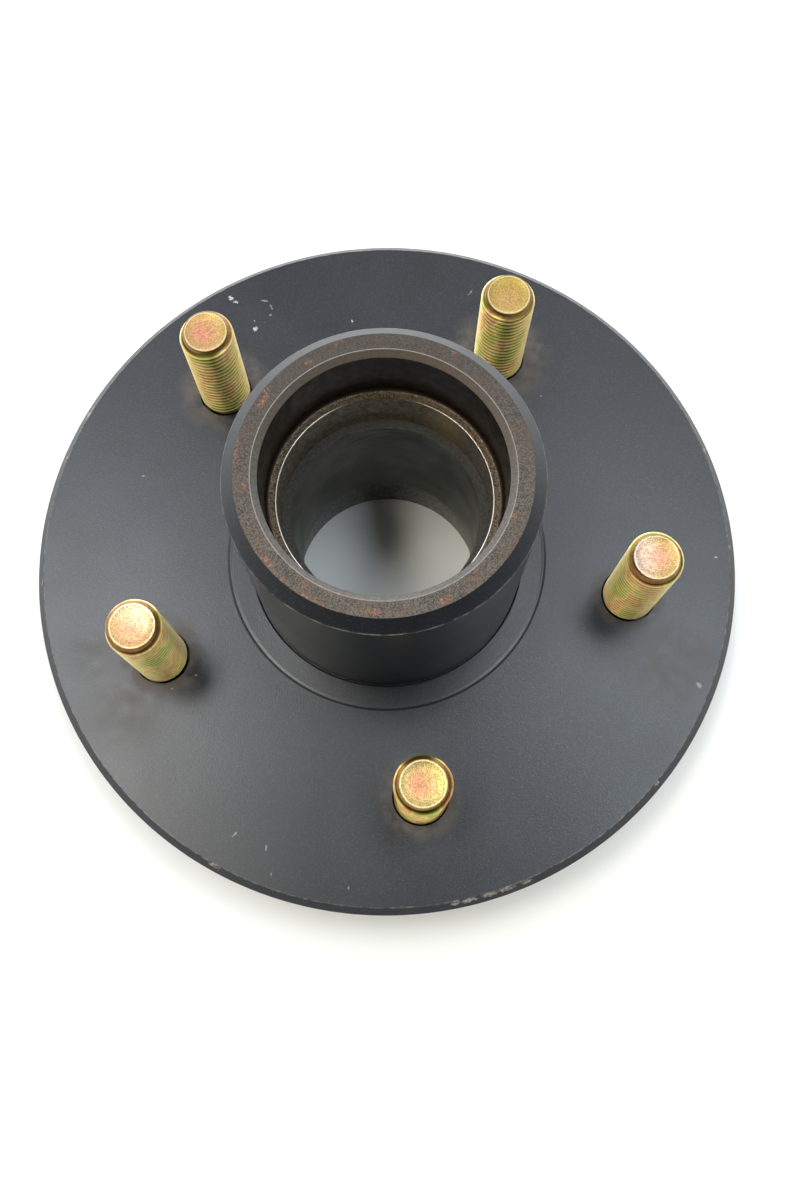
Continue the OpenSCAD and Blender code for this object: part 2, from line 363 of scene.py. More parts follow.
# Worn edges: rim, lower edge of the nose chamfer, and the chips knocked out of the rim
rim_edge = near(tree, radius, flange_r - rim_chamfer, 0.22)
nose_edge = near(tree, height, nose - nose_chamfer, 0.25)
edge = add(tree, "ShaderNodeMath", {0: rim_edge, 1: nose_edge}, operation="MAXIMUM")
worn = add(tree, "ShaderNodeMath", {0: edge, 1: grain(tree, 1.3, 0.36, 0.7)}, operation="MULTIPLY")
worn = add(tree, "ShaderNodeMath", {0: worn, 1: 0.6}, operation="MULTIPLY")
shade = add(tree, "ShaderNodeMix", {"Factor": worn, "A": shade, "B": "94928c"}, data_type="RGBA")
chips = spots(tree, RIM_CHIPS, wheel_face - 0.4, ragged=1.3)
chip_colour = add(tree, "ShaderNodeMix", {
    "Factor": grain(tree, 0.8), "A": "54473b", "B": "9a958c"}, data_type="RGBA")
shade = add(tree, "ShaderNodeMix", {"Factor": chips, "A": shade, "B": chip_colour}, data_type="RGBA")
specks = spots(tree, WHITE_SPECKS, wheel_face, ragged=1.3, crumb=0.4)
faint = spots(tree, FAINT_MARKS, wheel_face, ragged=0.9, crumb=0.4)
faint = add(tree, "ShaderNodeMath", {0: faint, 1: 0.45}, operation="MULTIPLY")
specks = add(tree, "ShaderNodeMath", {0: specks, 1: faint}, operation="MAXIMUM")
shade = add(tree, "ShaderNodeMix", {"Factor": specks, "A": shade, "B": "a9aba6"}, data_type="RGBA")
marks = add(tree, "ShaderNodeMath", {0: chips, 1: specks}, operation="MAXIMUM")
rough = add(tree, "ShaderNodeMix", {"Factor": marks, "A": rough, "B": 0.6}, data_type="FLOAT")

# Orange peel, with the chips a little lower than the paint
swell = add(tree, "ShaderNodeMath", {0: grain(tree, 1.6, 0.3, 0.7, 1.0), 1: 0.35}, operation="MULTIPLY")
peel = add(tree, "ShaderNodeMath", {0: grain(tree, 0.4, 0.3, 0.7, 1.0), 1: swell}, operation="ADD")
peel = add(tree, "ShaderNodeMath", {0: peel, 1: marks}, operation="SUBTRACT")
bump = add(tree, "ShaderNodeBump", {"Height": peel, "Strength": 0.6, "Distance": 0.016 * MM})
dress(tree, shader, {"Base Color": shade, "Roughness": rough, "Normal": bump})

# %% [markdown]
# ### Bare iron
# The nose is bare where it was faced and bored, and dull from handling, oil and light rust.
# One recipe makes all of it: two shades of iron in a fine grain, a tinted side, rust, and the lines that
# the tool left. Those are a tenth of a millimetre apart on such iron, and coarser here so that they show.
# On the seat the tinted side is a painted glint, and on the seat's edge it is painted shade.
# Only the broken edge of the seat is bright, and a thin painted highlight runs round the inner edge of the
# faced end.

# %% Bare iron
def bare_iron(name, shades, size, rough, metallic, relief, brown=0.0, side_tint_and_light=None, rust=(), lines=0.0,
              highlight_ring=None, scratched=None):
    """Faced or bored iron. In mm: size of the grain, relief, gap of the lines, radius of a painted highlight
    ring.
    """
    iron, tree, shader = new_finish(name)
    radius, angle, height = turned_place(tree)
    mottle = grain(tree, size, 0.36, 0.64)
    shade = add(tree, "ShaderNodeMix", {"Factor": mottle, "A": shades[0], "B": shades[1]}, data_type="RGBA")
    clouds = grain(tree, 3.5, 0.45, 0.75, shift=0.2)
    clouds = add(tree, "ShaderNodeMath", {0: clouds, 1: brown}, operation="MULTIPLY")
    shade = add(tree, "ShaderNodeMix", {"Factor": clouds, "A": shade, "B": "5e4636"}, data_type="RGBA")
    # A tinted side: a painted glint on the seat, painted shade on the seat's edge, and a browner, darker far
    # side on the nose
    if side_tint_and_light:
        degrees, colour, strength, narrow = side_tint_and_light
        lean = lean_to(tree, angle, degrees)
        lean = add(tree, "ShaderNodeMapRange", {"Value": lean, "From Min": narrow, "To Max": strength})
        shade = add(tree, "ShaderNodeMix", {"Factor": lean, "A": shade, "B": colour}, data_type="RGBA")
    if rust:
        scale = spots(tree, rust, nose, ragged=2.4, crumb=0.5)
        scale = add(tree, "ShaderNodeMath", {0: scale, 1: grain(tree, 0.5, 0.3, 0.55)}, operation="MULTIPLY")
        scale = add(tree, "ShaderNodeMath", {0: scale, 1: 0.85}, operation="MULTIPLY")
        orange = add(tree, "ShaderNodeMix", {
            "Factor": grain(tree, 0.5), "A": "42291f", "B": "8e5f45"}, data_type="RGBA")
        shade = add(tree, "ShaderNodeMix", {"Factor": scale, "A": shade, "B": orange}, data_type="RGBA")
    # A thin painted highlight ring
    if highlight_ring:
        painted_highlight = near(tree, radius, highlight_ring, 0.14)
        painted_highlight = add(tree, "ShaderNodeMath", {0: painted_highlight, 1: 0.3}, operation="MULTIPLY")
        shade = add(tree, "ShaderNodeMix", {"Factor": painted_highlight, "A": shade, "B": "d8d4cc"}, data_type="RGBA")
    if scratched:
        degrees, low, high = scratched
        lean = lean_to(tree, angle, degrees)
        lean = add(tree, "ShaderNodeMapRange", {"Value": lean, "From Min": 0.8, "From Max": 0.92})
        level = add(tree, "ShaderNodeMapRange", {
            "Value": height, "From Min": low * MM, "From Max": high * MM})
        lean = add(tree, "ShaderNodeMath", {0: lean, 1: level}, operation="MULTIPLY")
        along = add(tree, "ShaderNodeMath", {0: angle, 1: 1.4 * MM}, operation="MULTIPLY")
        place = add(tree, "ShaderNodeCombineXYZ", {"X": along, "Y": height})
        score = add(tree, "ShaderNodeTexNoise", {"Vector": place, "Scale": 1 / (0.45 * MM), "Detail": 1.0})
        score = add(tree, "ShaderNodeMapRange", {"Value": score, "From Min": 0.56, "From Max": 0.63})
        score = add(tree, "ShaderNodeMath", {0: score, 1: lean}, operation="MULTIPLY")
        shade = add(tree, "ShaderNodeMix", {"Factor": score, "A": shade, "B": "141310"}, data_type="RGBA")
    relief_height = mottle
    if lines:
        path = add(tree, "ShaderNodeMath", {0: radius, 1: height}, operation="ADD")
        path = add(tree, "ShaderNodeCombineXYZ", {"X": path})
        tool = add(tree, "ShaderNodeTexNoise", {"Vector": path, "Scale": 1 / (lines * MM), "Detail": 2.0})
        relief_height = add(tree, "ShaderNodeMath", {0: tool, 1: mottle}, operation="ADD")
        darker = add(tree, "ShaderNodeMapRange", {
            "Value": tool, "From Min": 0.35, "From Max": 0.65, "To Min": 0.45})
        shade = add(tree, "ShaderNodeMix", {"Factor": darker, "A": shades[0], "B": shade}, data_type="RGBA")
    gloss = add(tree, "ShaderNodeMapRange", {"Value": mottle, "To Min": rough[1], "To Max": rough[0]})
    bump = add(tree, "ShaderNodeBump", {"Height": relief_height, "Strength": 0.6, "Distance": relief * MM})
    dress(tree, shader, {"Base Color": shade, "Roughness": gloss, "Normal": bump})
    shader.inputs["Metallic"].default_value = metallic
    return iron


NOSE_RUST = [on_circle(radius, angle, length, width) for radius, angle, length, width in (
    (27.4, 140, 3.4, 1.4), (27.9, 136, 1.6, 0.8), (27.8, -148, 4.0, 1.2), (28.8, -153, 3.2, 0.8),
    (26.7, -131, 1.4, 0.8), (27.6, -101, 3.2, 1.0), (27.8, -73, 3.0, 1.2), (29.1, -63, 1.4, 0.7),
    (28.3, 53.5, 1.4, 0.8), (26.0, -27.5, 1.6, 1.2), (26.5, 179, 1.4, 0.9), (28.4, 165, 7.0, 0.5),
    (28.4, -125, 8.0, 0.5), (28.3, -140, 5.0, 0.6), (27.0, 115, 1.5, 0.6), (28.2, 100, 2.0, 0.5))]
# Faced end of the nose: granular, with rust, darker towards the far side, and a painted highlight round its
# inner edge
faced_end = bare_iron("bare iron, faced end with rust", ("2f2b25", "5a534a"), 0.26, (0.42, 0.6), 0.5, 0.025,
                      brown=0.5, side_tint_and_light=(90, "342d27", 0.6, -0.3), rust=NOSE_RUST,
                      highlight_ring=cap_r + mouth_chamfer + 0.1)
# Mouth chamfer: smooth grey, browner at the far side
mouth_iron = bare_iron("bare iron, smooth chamfer", ("57534c", "6c6860"), 0.5, (0.42, 0.52), 0.25, 0.006,
                       side_tint_and_light=(70, "65564b", 0.7, -0.3))
# Dust cap bore: nearly black with old oil and oxide
cap_iron = bare_iron("dark oiled iron of the cap bore", ("1c1613", "261f1a"), 2.0, (0.3, 0.4), 0.5, 0.004,
                     brown=0.06)
# Ledge under the cap bore: rough and golden brown
ledge_iron = bare_iron("rough brown iron of the ledge", ("211a14", "6e5d43"), 0.28, (0.38, 0.55), 0.5, 0.04,
                       brown=0.3)
# Broken edge of the bearing seat: bright, with painted shade ahead that fades out towards both sides
bright_edge = bare_iron("bright iron of the seat edge", ("d2cec6", "f2efe8"), 0.8, (0.28, 0.32), 1.0, 0.002,
                        side_tint_and_light=(82, "30271d", 1.0, -0.1))
# Bearing seat: fine lines of the boring tool, with a painted golden glint ahead and to the right
seat_iron = bare_iron("bored iron of the bearing seat", ("6b6357", "a09380"), 0.9, (0.4, 0.5), 0.5, 0.012,
                      brown=0.25, side_tint_and_light=(47, "c9ad78", 0.6, 0.97), lines=0.35)
# Shoulder under the seat: dark and dull
shoulder_iron = bare_iron("dull iron of the seat's shoulder", ("25231f", "3a362f"), 0.45, (0.55, 0.7), 0.0,
                          0.01)
# Grease bore: smooth and grey green
grease_iron = bare_iron("smooth iron of the grease bore", ("4e4f46", "62635a"), 9.0, (0.34, 0.42), 0.4, 0.002,
                       scratched=(84, seat_floor - 9, seat_floor - 5))
# Rear end and rear bore, hidden in the photograph: plain machined iron
rear_iron = bare_iron("machined iron of the rear end", ("5d5c58", "8c8a84"), 0.8, (0.32, 0.42), 0.8, 0.006,
                      lines=0.5)
print("finishes:", [m.name for m in bpy.data.materials])

# %% [markdown]
# ## The lathe
# Everything round on this object was turned: an outline swept about an axis.
# A Screw modifier could do it, but it can't round the corners of the outline first.
# So a node group does both: it fillets each corner by its own radius, lays a grid of points
# along the outline and round the axis, and closes the seam. Hub and studs share it.

# %% Start a node group
def new_tree(name, inputs, result):
    """A geometry node group with named inputs and one output, and the sockets of its inputs."""
    tree = bpy.data.node_groups.new(name, "GeometryNodeTree")
    for label, kind in inputs.items():
        tree.interface.new_socket(name=label, in_out="INPUT", socket_type="NodeSocket" + kind)
    tree.interface.new_socket(name=result, in_out="OUTPUT", socket_type="NodeSocketGeometry")
    return tree, add(tree, "NodeGroupInput").outputs


# %% The lathe as a node group
LATHE_INPUTS = {"Outline": "Geometry", "Steps": "Int", "Corner Steps": "Int", "Closed": "Int"}
lathe, given = new_tree("Lathe", LATHE_INPUTS, "Turned")
line = add(lathe, "GeometryNodeMeshToCurve", {"Mesh": given["Outline"]})
rounding = add(lathe, "GeometryNodeInputNamedAttribute", {"Name": "rounding"}, data_type="FLOAT")
line = add(lathe, "GeometryNodeFilletCurve", {
    "Curve": line, "Radius": rounding, "Count": given["Corner Steps"], "Limit Radius": True}, mode="POLY")
count = add(lathe, "GeometryNodeAttributeDomainSize", {"Geometry": line}, component="CURVE")
count = count.outputs["Point Count"]
rows = add(lathe, "ShaderNodeMath", {0: count, 1: given["Closed"]}, operation="ADD")
around = add(lathe, "ShaderNodeMath", {0: given["Steps"], 1: 1}, operation="ADD")
grid = add(lathe, "GeometryNodeMeshGrid", {"Vertices X": rows, "Vertices Y": around})
index = add(lathe, "GeometryNodeInputIndex")
row = add(lathe, "FunctionNodeIntegerMath", {0: index, 1: around}, operation="DIVIDE_FLOOR")
row = add(lathe, "FunctionNodeIntegerMath", {0: row, 1: count}, operation="MODULO")
turn = add(lathe, "FunctionNodeIntegerMath", {0: index, 1: around}, operation="MODULO")
turn = add(lathe, "ShaderNodeMath", {0: turn, 1: math.tau}, operation="MULTIPLY")
turn = add(lathe, "ShaderNodeMath", {0: turn, 1: given["Steps"]}, operation="DIVIDE")
here = add(lathe, "GeometryNodeInputPosition")
point = add(lathe, "GeometryNodeSampleIndex", {"Geometry": line, "Value": here, "Index": row},
            data_type="FLOAT_VECTOR")
point = add(lathe, "ShaderNodeVectorRotate", {"Vector": point, "Angle": turn}, rotation_type="Z_AXIS")
shell = add(lathe, "GeometryNodeSetPosition", {"Geometry": grid, "Position": point})
shell = add(lathe, "GeometryNodeMergeByDistance", {"Geometry": shell, "Distance": 0.001 * MM})
add(lathe, "NodeGroupOutput", {"Turned": shell})
print("lathe group:", len(lathe.nodes), "nodes")

# %% Outlines as meshes, and modifiers as plain meshes
def outline(name, corners, closed):
    """A loop or line of corners (radius, height, rounding) in mm, standing in the XZ plane."""
    mesh = bpy.data.meshes.new(name)
    last = len(corners) if closed else len(corners) - 1
    points = [(r * MM, 0, z * MM) for r, z, _ in corners]
    mesh.from_pydata(points, [(i, (i + 1) % len(corners)) for i in range(last)], [])
    rounding = mesh.attributes.new("rounding", "FLOAT", "POINT")
    rounding.data.foreach_set("value", [size * MM for _, _, size in corners])
    thing = bpy.data.objects.new(name, mesh)
    bpy.context.collection.objects.link(thing)
    return thing


def set_inputs(modifier, values):
    """Sets a node modifier's named inputs."""
    sockets = {s.name: s.identifier for s in modifier.node_group.interface.items_tree if s.in_out == "INPUT"}
    for name, value in values.items():
        modifier[sockets[name]] = value


def finish_mesh(thing):
    """Turns what the modifiers make into the object's own plain mesh."""
    shape = thing.evaluated_get(bpy.context.evaluated_depsgraph_get())
    mesh = bpy.data.meshes.new_from_object(shape)
    thing.modifiers.clear()
    thing.data = mesh
    mesh.name = thing.name
    triangles = sum(len(face.vertices) - 2 for face in mesh.polygons)
    print(f"{thing.name}: {triangles} triangles")


# %% [markdown]
# ## The hub body
# The outline goes down the nose, over the flange and its rim, round the back and up through the bore.
# Every turned edge is broken a little, because a razor edge never catches the light as a real one does.

# %% Outline of the hub
EDGE, FINE_EDGE = 0.25, 0.12
HUB_CORNERS = [
    (cap_r + mouth_chamfer, nose, FINE_EDGE),
    (barrel_r - nose_chamfer, nose, FINE_EDGE),
    (barrel_r, nose - nose_chamfer, EDGE),
    (barrel_r, wheel_face + undercut_r, FINE_EDGE),
    (barrel_r - undercut_r * 0.7, wheel_face, undercut_r * 0.5),
    (barrel_r, wheel_face - undercut_r, undercut_r * 0.5),
    (barrel_r + undercut_r, wheel_face, FINE_EDGE),
    (groove_r - groove_half, wheel_face, 0.8),
    (groove_r, wheel_face - groove_depth, 0.8),
    (groove_r + groove_half, wheel_face, 0.8),
    (flange_r - rim_chamfer, wheel_face, EDGE),
    (flange_r, wheel_face - rim_chamfer, EDGE),
    (flange_r, flange_back + back_chamfer, EDGE),
    (flange_r - back_chamfer, flange_back, EDGE),
    (rear_root_r, flange_back, rear_fillet),
    (rear_r, rear_chamfer, EDGE),
    (rear_r - rear_chamfer, 0, EDGE),
    (rear_bore_r + rear_mouth, 0, EDGE),
    (rear_bore_r, rear_mouth, FINE_EDGE),
    (rear_bore_r, rear_bore_top, FINE_EDGE),
    (grease_r + seat_chamfer, rear_bore_top, FINE_EDGE),
    (grease_r, rear_bore_top + seat_chamfer, FINE_EDGE),
    (grease_r, seat_floor - edge_break, FINE_EDGE / 2),
    (grease_r + edge_break, seat_floor, FINE_EDGE / 2),
    (seat_r, seat_floor, FINE_EDGE),
    (seat_r, cap_floor - seat_bevel, 0.03),
    (seat_r + edge_width, cap_floor, 0.03),
    (cap_r, cap_floor, ledge_fillet),
    (cap_r, nose - mouth_chamfer, FINE_EDGE),
]
print("hub outline:", len(HUB_CORNERS), "corners")

# %% The tree that turns the hub and drills its stud holes
HUB_INPUTS = {
    "Outline": "Geometry", "Steps": "Int", "Corner Steps": "Int", "Hole Count": "Int", "Hole Circle": "Float",
    "Hole Radius": "Float", "First Hole Angle": "Float", "Flange Middle": "Float", "Finish": "Material"}
hub_tree, given = new_tree("Turned hub", HUB_INPUTS, "Hub")
body = add(hub_tree, "GeometryNodeGroup", node_tree=lathe)
for name in ("Outline", "Steps", "Corner Steps"):
    hub_tree.links.new(given[name], body.inputs[name])
body.inputs["Closed"].default_value = 1
drill = add(hub_tree, "GeometryNodeMeshCylinder", {
    "Vertices": 96, "Radius": given["Hole Radius"], "Depth": 30 * MM})
circle = add(hub_tree, "GeometryNodeMeshCircle", {
    "Vertices": given["Hole Count"], "Radius": given["Hole Circle"]})
start = add(hub_tree, "ShaderNodeCombineXYZ", {"Z": given["First Hole Angle"]})
height = add(hub_tree, "ShaderNodeCombineXYZ", {"Z": given["Flange Middle"]})
circle = add(hub_tree, "GeometryNodeTransform", {
    "Geometry": circle, "Translation": height, "Rotation": start})
drills = add(hub_tree, "GeometryNodeInstanceOnPoints", {"Points": circle, "Instance": drill})
drills = add(hub_tree, "GeometryNodeRealizeInstances", {"Geometry": drills})
body = add(hub_tree, "GeometryNodeMeshBoolean", {"Mesh 1": body, "Mesh 2": drills},
           operation="DIFFERENCE", solver="EXACT")
body = add(hub_tree, "GeometryNodeSetShadeSmooth", {"Geometry": body, "Shade Smooth": True}, domain="FACE")
fold = add(hub_tree, "GeometryNodeInputMeshEdgeAngle")
sharp = add(hub_tree, "FunctionNodeCompare", {0: fold, 1: math.radians(35)},
            operation="GREATER_THAN", data_type="FLOAT")
body = add(hub_tree, "GeometryNodeSetShadeSmooth", {
    "Geometry": body, "Selection": sharp, "Shade Smooth": False}, domain="EDGE")
body = add(hub_tree, "GeometryNodeRealizeInstances", {"Geometry": body})
body = add(hub_tree, "GeometryNodeSetMaterial", {"Geometry": body, "Material": given["Finish"]})
add(hub_tree, "NodeGroupOutput", {"Hub": body})
print("hub tree:", len(hub_tree.nodes), "nodes")

# %% Turn the hub
hub = outline("hub_body", HUB_CORNERS, closed=True)
turning = hub.modifiers.new("turning", "NODES")
turning.node_group = hub_tree
set_inputs(turning, {
    "Steps": 288, "Corner Steps": 4, "Hole Count": 5, "Hole Circle": stud_circle * MM,
    "Hole Radius": hole_r * MM, "First Hole Angle": math.radians(-90),
    "Flange Middle": (wheel_face + flange_back) / 2 * MM, "Finish": satin_paint})
flats = hub.modifiers.new("flats keep their own light", "WEIGHTED_NORMAL")
flats.keep_sharp = True
finish_mesh(hub)

# %% Bare iron goes where the tool went
ZONES = [
    # finish, least and greatest radius, least and greatest height
    (faced_end, cap_r + mouth_chamfer, barrel_r - nose_chamfer, nose - 0.1, nose + 0.1),
    (mouth_iron, cap_r - 0.1, cap_r + mouth_chamfer, nose - mouth_chamfer, nose + 0.1),
    (cap_iron, cap_r - 0.1, cap_r + 0.1, cap_floor + 0.1, nose - mouth_chamfer),
    (ledge_iron, seat_r + edge_width, cap_r - 0.8 * ledge_fillet, cap_floor - 0.1, cap_floor + 0.1),
    (cap_iron, cap_r - 0.8 * ledge_fillet, cap_r + 0.1, cap_floor, cap_floor + ledge_fillet),
    (bright_edge, seat_r, seat_r + edge_width, cap_floor - seat_bevel, cap_floor + 0.1),
    (seat_iron, seat_r - 0.1, seat_r + 0.1, seat_floor + 0.1, cap_floor - seat_bevel),
    (shoulder_iron, grease_r + 0.1, seat_r, seat_floor - 0.1, seat_floor + 0.1),
    (grease_iron, 0, grease_r + 0.1, rear_bore_top + seat_chamfer, seat_floor + 0.1),
    (rear_iron, 0, rear_bore_r + rear_mouth, 0, rear_bore_top + seat_chamfer),
    (rear_iron, 0, rear_r - rear_chamfer, -0.1, 0.1)]
hub.data.materials.clear()
hub.data.materials.append(satin_paint)
slots = [0] * len(hub.data.polygons)
for finish, r_low, r_high, z_low, z_high in ZONES:
    if finish.name not in hub.data.materials:
        hub.data.materials.append(finish)
    number = hub.data.materials.find(finish.name)
    for face in hub.data.polygons:
        r, z = face.center.xy.length / MM, face.center.z / MM
        if slots[face.index] == 0 and r_low <= r <= r_high and z_low <= z <= z_high:
            slots[face.index] = number
hub.data.polygons.foreach_set("material_index", slots)
for number, finish in enumerate(hub.data.materials):
    print(f"{finish.name}: {slots.count(number)} faces")
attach(hub, "root")
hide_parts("hub")

# %% [markdown]
# ## The wheel studs
# Each stud is M12 with a pitch of 1.5 mm: head, ribbed knurl, neck, rolled thread, point and shallow cup.
# A thread could be a twisted sweep, but its ends are then hard to fade out.
# Here it is a grid whose rows climb with the helix: each row keeps one place in the thread's form,
# so the crests stay crisp, and the rows are held between the two ends of the thread.

# %% Sizes of a stud, in millimetres
PITCH = 1.5
thread_depth = 0.6134 * PITCH
neck_r = thread_r - 0.5
point_r, point_length, lead_in = 4.9, 0.5, 0.9
rim_width, cup_slope, cup_depth = 0.4, 1.1, 0.35
head_r, head_thickness, head_edge = (stud_high.x - stud_low.x) / 2, flange_back - stud_low.z, 0.8
knurl_length, knurl_ribs, knurl_depth = 7.0, 30, 0.3
thread_start, run_in = wheel_face - 1.0, 1.2
thread_end = stud_high.z - point_length
ROUND, ROWS_PER_PITCH = 120, 12
thread_rows = math.ceil(ROWS_PER_PITCH * ((thread_end - thread_start) / PITCH + 1)) + 1
print(f"thread from {thread_start:.1f} to {thread_end:.1f} mm, {thread_rows} rows")

# %% Outlines of the stud's two turned ends
SHANK_CORNERS = [
    (0, flange_back - head_thickness, 0),
    (head_r - head_edge, flange_back - head_thickness, 0.3),
    (head_r, flange_back - head_thickness + head_edge, 0.3),
    (head_r, flange_back, 0.1),
    (hole_r, flange_back, 0),
    (hole_r, flange_back + knurl_length, 0.1),
    (neck_r, flange_back + knurl_length, 0.1),
    (neck_r, thread_start, 0),
]
POINT_CORNERS = [
    (point_r, thread_end, 0),
    (point_r, stud_high.z, 0.12),
    (point_r - rim_width, stud_high.z, 0.12),
    (point_r - rim_width - cup_slope, stud_high.z - cup_depth, 5.5),
    (0, stud_high.z - cup_depth - 0.02, 0),
]
shank_line = outline("stud_shank_outline", SHANK_CORNERS, closed=False)
point_line = outline("stud_point_outline", POINT_CORNERS, closed=False)

# %% The thread as a node group
THREAD_INPUTS = {
    "Rows": "Int", "Rows per Pitch": "Int", "Steps": "Int", "Pitch": "Float", "Major Radius": "Float",
    "Depth": "Float", "Start": "Float", "End": "Float", "Neck Radius": "Float", "Run In": "Float",
    "Point Radius": "Float", "Lead In": "Float"}
thread, given = new_tree("Rolled thread", THREAD_INPUTS, "Thread")
around = add(thread, "ShaderNodeMath", {0: given["Steps"], 1: 1}, operation="ADD")
grid = add(thread, "GeometryNodeMeshGrid", {"Vertices X": given["Rows"], "Vertices Y": around})
index = add(thread, "GeometryNodeInputIndex")
row = add(thread, "FunctionNodeIntegerMath", {0: index, 1: around}, operation="DIVIDE_FLOOR")
step = add(thread, "FunctionNodeIntegerMath", {0: index, 1: around}, operation="MODULO")
share = add(thread, "ShaderNodeMath", {0: step, 1: given["Steps"]}, operation="DIVIDE")

# Height climbs one pitch for each turn, and is held between the thread's ends
turns = add(thread, "ShaderNodeMath", {0: row, 1: given["Rows per Pitch"]}, operation="DIVIDE")
turns = add(thread, "ShaderNodeMath", {0: turns, 1: share}, operation="ADD")
turns = add(thread, "ShaderNodeMath", {0: turns, 1: 1.0}, operation="SUBTRACT")
height = add(thread, "ShaderNodeMath", {0: turns, 1: given["Pitch"], 2: given["Start"]},
             operation="MULTIPLY_ADD")
height = add(thread, "ShaderNodeMath", {0: height, 1: given["Start"]}, operation="MAXIMUM")
height = add(thread, "ShaderNodeMath", {0: height, 1: given["End"]}, operation="MINIMUM")

# Crest at the start of each pitch and root in the middle, with rounded flanks between
phase = add(thread, "FunctionNodeIntegerMath", {0: row, 1: given["Rows per Pitch"]}, operation="MODULO")
phase = add(thread, "ShaderNodeMath", {0: phase, 1: given["Rows per Pitch"]}, operation="DIVIDE")
phase = add(thread, "ShaderNodeMath", {0: phase, 1: 0.5}, operation="SUBTRACT")
phase = add(thread, "ShaderNodeMath", {0: phase}, operation="ABSOLUTE")
flank = add(thread, "ShaderNodeMapRange", {
    "Value": phase, "From Min": 0.08, "From Max": 0.44, "To Min": 1, "To Max": 0})
cut = add(thread, "ShaderNodeMath", {0: flank, 1: given["Depth"]}, operation="MULTIPLY")
radius = add(thread, "ShaderNodeMath", {0: given["Major Radius"], 1: cut}, operation="SUBTRACT")

# The form fades into the neck below and into the point above
rise = add(thread, "ShaderNodeMath", {0: height, 1: given["Start"]}, operation="SUBTRACT")
rise = add(thread, "ShaderNodeMath", {0: rise, 1: given["Run In"]}, operation="DIVIDE", use_clamp=True)
radius = add(thread, "ShaderNodeMix", {"Factor": rise, "A": given["Neck Radius"], "B": radius},
             data_type="FLOAT")
fall = add(thread, "ShaderNodeMath", {0: given["End"], 1: height}, operation="SUBTRACT")
fall = add(thread, "ShaderNodeMath", {0: fall, 1: given["Lead In"]}, operation="DIVIDE", use_clamp=True)
radius = add(thread, "ShaderNodeMix", {"Factor": fall, "A": given["Point Radius"], "B": radius},
             data_type="FLOAT")
point = add(thread, "ShaderNodeCombineXYZ", {"X": radius, "Z": height})
turn = add(thread, "ShaderNodeMath", {0: share, 1: math.tau}, operation="MULTIPLY")
point = add(thread, "ShaderNodeVectorRotate", {"Vector": point, "Angle": turn}, rotation_type="Z_AXIS")
shell = add(thread, "GeometryNodeSetPosition", {"Geometry": grid, "Position": point})
add(thread, "NodeGroupOutput", {"Thread": shell})
print("thread group:", len(thread.nodes), "nodes")

# %% The tree that joins shank, thread and point, cuts the knurl and sets the stud in its place
STUD_INPUTS = {
    "Shank Outline": "Geometry", "Point Outline": "Object", "Knurl Radius": "Float", "Knurl Ribs": "Int",
    "Knurl Depth": "Float", "Spin": "Float", "Place": "Vector", "Finish": "Material", **THREAD_INPUTS}
stud_tree, given = new_tree("Wheel stud", STUD_INPUTS, "Stud")
shank = add(stud_tree, "GeometryNodeGroup", node_tree=lathe)
point_info = add(stud_tree, "GeometryNodeObjectInfo", {"Object": given["Point Outline"]})
point = add(stud_tree, "GeometryNodeGroup", node_tree=lathe)
helix = add(stud_tree, "GeometryNodeGroup", node_tree=thread)
stud_tree.links.new(given["Shank Outline"], shank.inputs["Outline"])
stud_tree.links.new(point_info.outputs["Geometry"], point.inputs["Outline"])
for turned in (shank, point):
    stud_tree.links.new(given["Steps"], turned.inputs["Steps"])
    turned.inputs["Corner Steps"].default_value = 4
for name in THREAD_INPUTS:
    stud_tree.links.new(given[name], helix.inputs[name])

# Ribs: the knurled stretch, and nothing else, has the knurl's radius
here = add(stud_tree, "GeometryNodeInputPosition")
spot = add(stud_tree, "ShaderNodeSeparateXYZ", {"Vector": here}).outputs
flat = add(stud_tree, "ShaderNodeCombineXYZ", {"X": spot["X"], "Y": spot["Y"]})
out = add(stud_tree, "ShaderNodeVectorMath", {0: flat}, operation="LENGTH").outputs["Value"]
ribbed = add(stud_tree, "FunctionNodeCompare", {0: out, 1: given["Knurl Radius"], "Epsilon": 0.05 * MM},
             operation="EQUAL", data_type="FLOAT")
angle = add(stud_tree, "ShaderNodeMath", {0: spot["Y"], 1: spot["X"]}, operation="ARCTAN2")
wave = add(stud_tree, "ShaderNodeMath", {0: angle, 1: given["Knurl Ribs"]}, operation="MULTIPLY")
wave = add(stud_tree, "ShaderNodeMath", {0: wave}, operation="COSINE")
wave = add(stud_tree, "ShaderNodeMath", {0: wave, 1: 0.5, 2: -0.5}, operation="MULTIPLY_ADD")
wave = add(stud_tree, "ShaderNodeMath", {0: wave, 1: given["Knurl Depth"]}, operation="MULTIPLY")
inward = add(stud_tree, "ShaderNodeVectorMath", {0: flat}, operation="NORMALIZE")
inward = add(stud_tree, "ShaderNodeVectorMath", {0: inward, "Scale": wave}, operation="SCALE")
shank = add(stud_tree, "GeometryNodeSetPosition", {
    "Geometry": shank, "Selection": ribbed, "Offset": inward})

stud = add(stud_tree, "GeometryNodeJoinGeometry")
for piece in (shank, helix, point):
    stud_tree.links.new(piece.outputs[0], stud.inputs["Geometry"])
stud = add(stud_tree, "GeometryNodeMergeByDistance", {"Geometry": stud, "Distance": 0.002 * MM})
spin = add(stud_tree, "ShaderNodeCombineXYZ", {"Z": given["Spin"]})
stud = add(stud_tree, "GeometryNodeTransform", {
    "Geometry": stud, "Translation": given["Place"], "Rotation": spin})
stud = add(stud_tree, "GeometryNodeSetShadeSmooth", {"Geometry": stud, "Shade Smooth": True}, domain="FACE")
stud = add(stud_tree, "GeometryNodeRealizeInstances", {"Geometry": stud})
stud = add(stud_tree, "GeometryNodeSetMaterial", {"Geometry": stud, "Material": given["Finish"]})
add(stud_tree, "NodeGroupOutput", {"Stud": stud})
print("stud tree:", len(stud_tree.nodes), "nodes")
